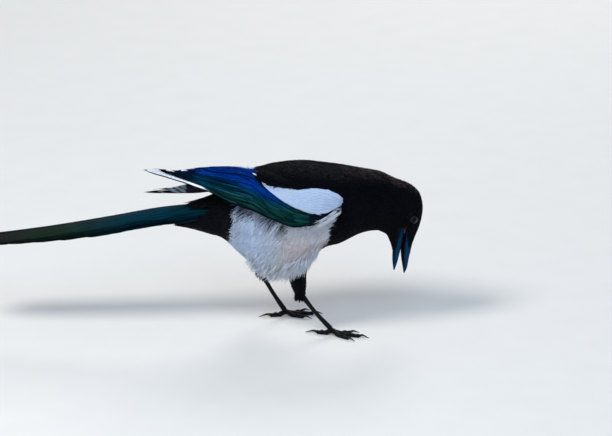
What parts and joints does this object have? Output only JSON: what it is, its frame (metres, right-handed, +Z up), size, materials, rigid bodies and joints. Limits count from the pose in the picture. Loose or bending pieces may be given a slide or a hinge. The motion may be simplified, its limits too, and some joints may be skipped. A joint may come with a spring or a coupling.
{
  "type": "life-size magpie model",
  "caption": "Life-size Eurasian magpie standing on the ground, neck stooped and bill open, wings folded and long stepped tail held out behind.",
  "frame": {"origin": "on the floor, under the middle of the whole bird's box", "axes": "+X the way the bird faces, along its longest extent; +Y to its left; +Z up"},
  "size_m": [0.4186, 0.0842, 0.1576],
  "materials": {
    "plumage_black": "soft black feathers with a faint sheen",
    "plumage_white": "soft white feathers",
    "wing_blue": "glossed blue and green flight feathers",
    "tail_green": "glossed green and bronze tail feathers",
    "horn": "smooth black horn",
    "leg_skin": "black scaled skin",
    "eye": "wet dark brown"
  },
  "bodies": {
    "root": {"head": "plumage_black", "bill_upper": "horn", "bill_lower": "horn", "eye_left": "eye", "eye_right": "eye", "neck": "plumage_black", "torso": "plumage_white", "scapulars_left": "plumage_white", "scapulars_right": "plumage_white", "wing_left": "wing_blue", "wing_right": "wing_blue", "tail_coverts": "plumage_black", "tail": "tail_green", "shank_left": "plumage_black", "shank_right": "plumage_black", "tarsus_left": "leg_skin", "tarsus_right": "leg_skin", "foot_left": "leg_skin", "foot_right": "leg_skin", "claw_left_hind": "horn", "claw_left_inner": "horn", "claw_left_middle": "horn", "claw_left_outer": "horn", "claw_right_hind": "horn", "claw_right_inner": "horn", "claw_right_middle": "horn", "claw_right_outer": "horn"}
  },
  "joints": []
}
